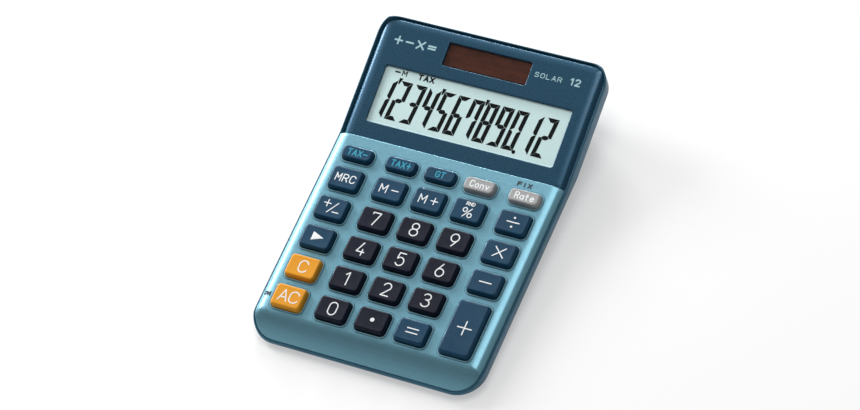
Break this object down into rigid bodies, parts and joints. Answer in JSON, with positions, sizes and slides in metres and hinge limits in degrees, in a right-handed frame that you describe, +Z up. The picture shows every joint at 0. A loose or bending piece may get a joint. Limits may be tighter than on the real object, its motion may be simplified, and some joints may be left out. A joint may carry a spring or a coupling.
{
  "type": "desk calculator",
  "caption": "Solar and battery desk calculator with a tilted segment display above a sloping keypad of separate spring-back keys, on rubber feet.",
  "frame": {"origin": "centre of the object's bounding box in X and Y, on the plane that the rubber feet stand on", "axes": "+X to the user's right, +Y from the user towards the display's back edge, +Z up"},
  "size_m": [0.126, 0.1788, 0.034],
  "materials": {
    "case_blue": "satin blue moulded plastic",
    "panel_teal": "brushed and tinted light teal",
    "panel_navy": "dark blue metallic lacquer",
    "clear_window": "clear polished window",
    "solar_cell": "dark brown amorphous silicon strips",
    "lcd_glass": "grey-green reflective display glass",
    "white_plastic": "white moulded plastic",
    "amber_film": "flexible printed film",
    "board_green": "solder mask over laminate",
    "black_resin": "black resin",
    "silicone": "translucent silicone",
    "wire_red": "insulated wire",
    "wire_black": "insulated wire",
    "steel": "bright plated",
    "rubber": "matt black",
    "key_blue": "satin, printed legends",
    "key_dark": "satin, printed legends",
    "key_orange": "satin, printed legends",
    "key_grey": "satin, printed legends"
  },
  "bodies": {
    "case": {"upper_case": "case_blue", "lower_case": "case_blue", "keypad_panel": "panel_teal", "display_panel": "panel_navy", "display_window": "clear_window", "solar_window": "clear_window", "solar_cell": "solar_cell", "lcd_module": "lcd_glass", "lcd_backing": "white_plastic", "lcd_ribbon": "amber_film", "circuit_board": "board_green", "processor_chip": "black_resin", "smoothing_capacitor": "black_resin", "key_mat": "silicone", "solar_lead_positive": "wire_red", "solar_lead_negative": "wire_black", "battery_cell": "steel", "battery_contact_positive": "steel", "battery_contact_negative": "steel", "battery_cover": "case_blue", "battery_cover_screw": "steel", "case_screw_front_left": "steel", "case_screw_front_right": "steel", "case_screw_middle_left": "steel", "case_screw_middle_right": "steel", "case_screw_rear_left": "steel", "case_screw_rear_right": "steel", "foot_front_left": "rubber", "foot_front_right": "rubber", "foot_rear_left": "rubber", "foot_rear_right": "rubber"},
    "key_tax_minus": {"key_tax_minus": "key_blue"},
    "key_tax_plus": {"key_tax_plus": "key_blue"},
    "key_grand_total": {"key_grand_total": "key_blue"},
    "key_convert": {"key_convert": "key_grey"},
    "key_rate": {"key_rate": "key_grey"},
    "key_memory_recall": {"key_memory_recall": "key_blue"},
    "key_memory_minus": {"key_memory_minus": "key_blue"},
    "key_memory_plus": {"key_memory_plus": "key_blue"},
    "key_percent": {"key_percent": "key_blue"},
    "key_divide": {"key_divide": "key_blue"},
    "key_sign": {"key_sign": "key_blue"},
    "key_7": {"key_7": "key_dark"},
    "key_8": {"key_8": "key_dark"},
    "key_9": {"key_9": "key_dark"},
    "key_multiply": {"key_multiply": "key_blue"},
    "key_backspace": {"key_backspace": "key_blue"},
    "key_4": {"key_4": "key_dark"},
    "key_5": {"key_5": "key_dark"},
    "key_6": {"key_6": "key_dark"},
    "key_minus": {"key_minus": "key_blue"},
    "key_clear": {"key_clear": "key_orange"},
    "key_1": {"key_1": "key_dark"},
    "key_2": {"key_2": "key_dark"},
    "key_3": {"key_3": "key_dark"},
    "key_plus": {"key_plus": "key_blue"},
    "key_all_clear": {"key_all_clear": "key_orange"},
    "key_0": {"key_0": "key_dark"},
    "key_decimal": {"key_decimal": "key_dark"},
    "key_equals": {"key_equals": "key_blue"}
  },
  "joints": [
    {"name": "key_tax_minus_press", "type": "slide", "parent": "case", "child": "key_tax_minus", "axis": [0, 0.0698, -0.9976], "range_m": [0, 0.0015], "stiffness_N_per_m": 200, "springref_m": -0.0015, "deforming": ["key_mat"]},
    {"name": "key_tax_plus_press", "type": "slide", "parent": "case", "child": "key_tax_plus", "axis": [0, 0.0698, -0.9976], "range_m": [0, 0.0015], "stiffness_N_per_m": 200, "springref_m": -0.0015, "deforming": ["key_mat"]},
    {"name": "key_grand_total_press", "type": "slide", "parent": "case", "child": "key_grand_total", "axis": [0, 0.0698, -0.9976], "range_m": [0, 0.0015], "stiffness_N_per_m": 200, "springref_m": -0.0015, "deforming": ["key_mat"]},
    {"name": "key_convert_press", "type": "slide", "parent": "case", "child": "key_convert", "axis": [0, 0.0698, -0.9976], "range_m": [0, 0.0015], "stiffness_N_per_m": 200, "springref_m": -0.0015, "deforming": ["key_mat"]},
    {"name": "key_rate_press", "type": "slide", "parent": "case", "child": "key_rate", "axis": [0, 0.0698, -0.9976], "range_m": [0, 0.0015], "stiffness_N_per_m": 200, "springref_m": -0.0015, "deforming": ["key_mat"]},
    {"name": "key_memory_recall_press", "type": "slide", "parent": "case", "child": "key_memory_recall", "axis": [0, 0.0698, -0.9976], "range_m": [0, 0.0015], "stiffness_N_per_m": 200, "springref_m": -0.0015, "deforming": ["key_mat"]},
    {"name": "key_memory_minus_press", "type": "slide", "parent": "case", "child": "key_memory_minus", "axis": [0, 0.0698, -0.9976], "range_m": [0, 0.0015], "stiffness_N_per_m": 200, "springref_m": -0.0015, "deforming": ["key_mat"]},
    {"name": "key_memory_plus_press", "type": "slide", "parent": "case", "child": "key_memory_plus", "axis": [0, 0.0698, -0.9976], "range_m": [0, 0.0015], "stiffness_N_per_m": 200, "springref_m": -0.0015, "deforming": ["key_mat"]},
    {"name": "key_percent_press", "type": "slide", "parent": "case", "child": "key_percent", "axis": [0, 0.0698, -0.9976], "range_m": [0, 0.0015], "stiffness_N_per_m": 200, "springref_m": -0.0015, "deforming": ["key_mat"]},
    {"name": "key_divide_press", "type": "slide", "parent": "case", "child": "key_divide", "axis": [0, 0.0698, -0.9976], "range_m": [0, 0.0015], "stiffness_N_per_m": 200, "springref_m": -0.0015, "deforming": ["key_mat"]},
    {"name": "key_sign_press", "type": "slide", "parent": "case", "child": "key_sign", "axis": [0, 0.0698, -0.9976], "range_m": [0, 0.0015], "stiffness_N_per_m": 200, "springref_m": -0.0015, "deforming": ["key_mat"]},
    {"name": "key_7_press", "type": "slide", "parent": "case", "child": "key_7", "axis": [0, 0.0698, -0.9976], "range_m": [0, 0.0015], "stiffness_N_per_m": 200, "springref_m": -0.0015, "deforming": ["key_mat"]},
    {"name": "key_8_press", "type": "slide", "parent": "case", "child": "key_8", "axis": [0, 0.0698, -0.9976], "range_m": [0, 0.0015], "stiffness_N_per_m": 200, "springref_m": -0.0015, "deforming": ["key_mat"]},
    {"name": "key_9_press", "type": "slide", "parent": "case", "child": "key_9", "axis": [0, 0.0698, -0.9976], "range_m": [0, 0.0015], "stiffness_N_per_m": 200, "springref_m": -0.0015, "deforming": ["key_mat"]},
    {"name": "key_multiply_press", "type": "slide", "parent": "case", "child": "key_multiply", "axis": [0, 0.0698, -0.9976], "range_m": [0, 0.0015], "stiffness_N_per_m": 200, "springref_m": -0.0015, "deforming": ["key_mat"]},
    {"name": "key_backspace_press", "type": "slide", "parent": "case", "child": "key_backspace", "axis": [0, 0.0698, -0.9976], "range_m": [0, 0.0015], "stiffness_N_per_m": 200, "springref_m": -0.0015, "deforming": ["key_mat"]},
    {"name": "key_4_press", "type": "slide", "parent": "case", "child": "key_4", "axis": [0, 0.0698, -0.9976], "range_m": [0, 0.0015], "stiffness_N_per_m": 200, "springref_m": -0.0015, "deforming": ["key_mat"]},
    {"name": "key_5_press", "type": "slide", "parent": "case", "child": "key_5", "axis": [0, 0.0698, -0.9976], "range_m": [0, 0.0015], "stiffness_N_per_m": 200, "springref_m": -0.0015, "deforming": ["key_mat"]},
    {"name": "key_6_press", "type": "slide", "parent": "case", "child": "key_6", "axis": [0, 0.0698, -0.9976], "range_m": [0, 0.0015], "stiffness_N_per_m": 200, "springref_m": -0.0015, "deforming": ["key_mat"]},
    {"name": "key_minus_press", "type": "slide", "parent": "case", "child": "key_minus", "axis": [0, 0.0698, -0.9976], "range_m": [0, 0.0015], "stiffness_N_per_m": 200, "springref_m": -0.0015, "deforming": ["key_mat"]},
    {"name": "key_clear_press", "type": "slide", "parent": "case", "child": "key_clear", "axis": [0, 0.0698, -0.9976], "range_m": [0, 0.0015], "stiffness_N_per_m": 200, "springref_m": -0.0015, "deforming": ["key_mat"]},
    {"name": "key_1_press", "type": "slide", "parent": "case", "child": "key_1", "axis": [0, 0.0698, -0.9976], "range_m": [0, 0.0015], "stiffness_N_per_m": 200, "springref_m": -0.0015, "deforming": ["key_mat"]},
    {"name": "key_2_press", "type": "slide", "parent": "case", "child": "key_2", "axis": [0, 0.0698, -0.9976], "range_m": [0, 0.0015], "stiffness_N_per_m": 200, "springref_m": -0.0015, "deforming": ["key_mat"]},
    {"name": "key_3_press", "type": "slide", "parent": "case", "child": "key_3", "axis": [0, 0.0698, -0.9976], "range_m": [0, 0.0015], "stiffness_N_per_m": 200, "springref_m": -0.0015, "deforming": ["key_mat"]},
    {"name": "key_plus_press", "type": "slide", "parent": "case", "child": "key_plus", "axis": [0, 0.0698, -0.9976], "range_m": [0, 0.0015], "stiffness_N_per_m": 200, "springref_m": -0.0015, "deforming": ["key_mat"]},
    {"name": "key_all_clear_press", "type": "slide", "parent": "case", "child": "key_all_clear", "axis": [0, 0.0698, -0.9976], "range_m": [0, 0.0015], "stiffness_N_per_m": 200, "springref_m": -0.0015, "deforming": ["key_mat"]},
    {"name": "key_0_press", "type": "slide", "parent": "case", "child": "key_0", "axis": [0, 0.0698, -0.9976], "range_m": [0, 0.0015], "stiffness_N_per_m": 200, "springref_m": -0.0015, "deforming": ["key_mat"]},
    {"name": "key_decimal_press", "type": "slide", "parent": "case", "child": "key_decimal", "axis": [0, 0.0698, -0.9976], "range_m": [0, 0.0015], "stiffness_N_per_m": 200, "springref_m": -0.0015, "deforming": ["key_mat"]},
    {"name": "key_equals_press", "type": "slide", "parent": "case", "child": "key_equals", "axis": [0, 0.0698, -0.9976], "range_m": [0, 0.0015], "stiffness_N_per_m": 200, "springref_m": -0.0015, "deforming": ["key_mat"]}
  ]
}
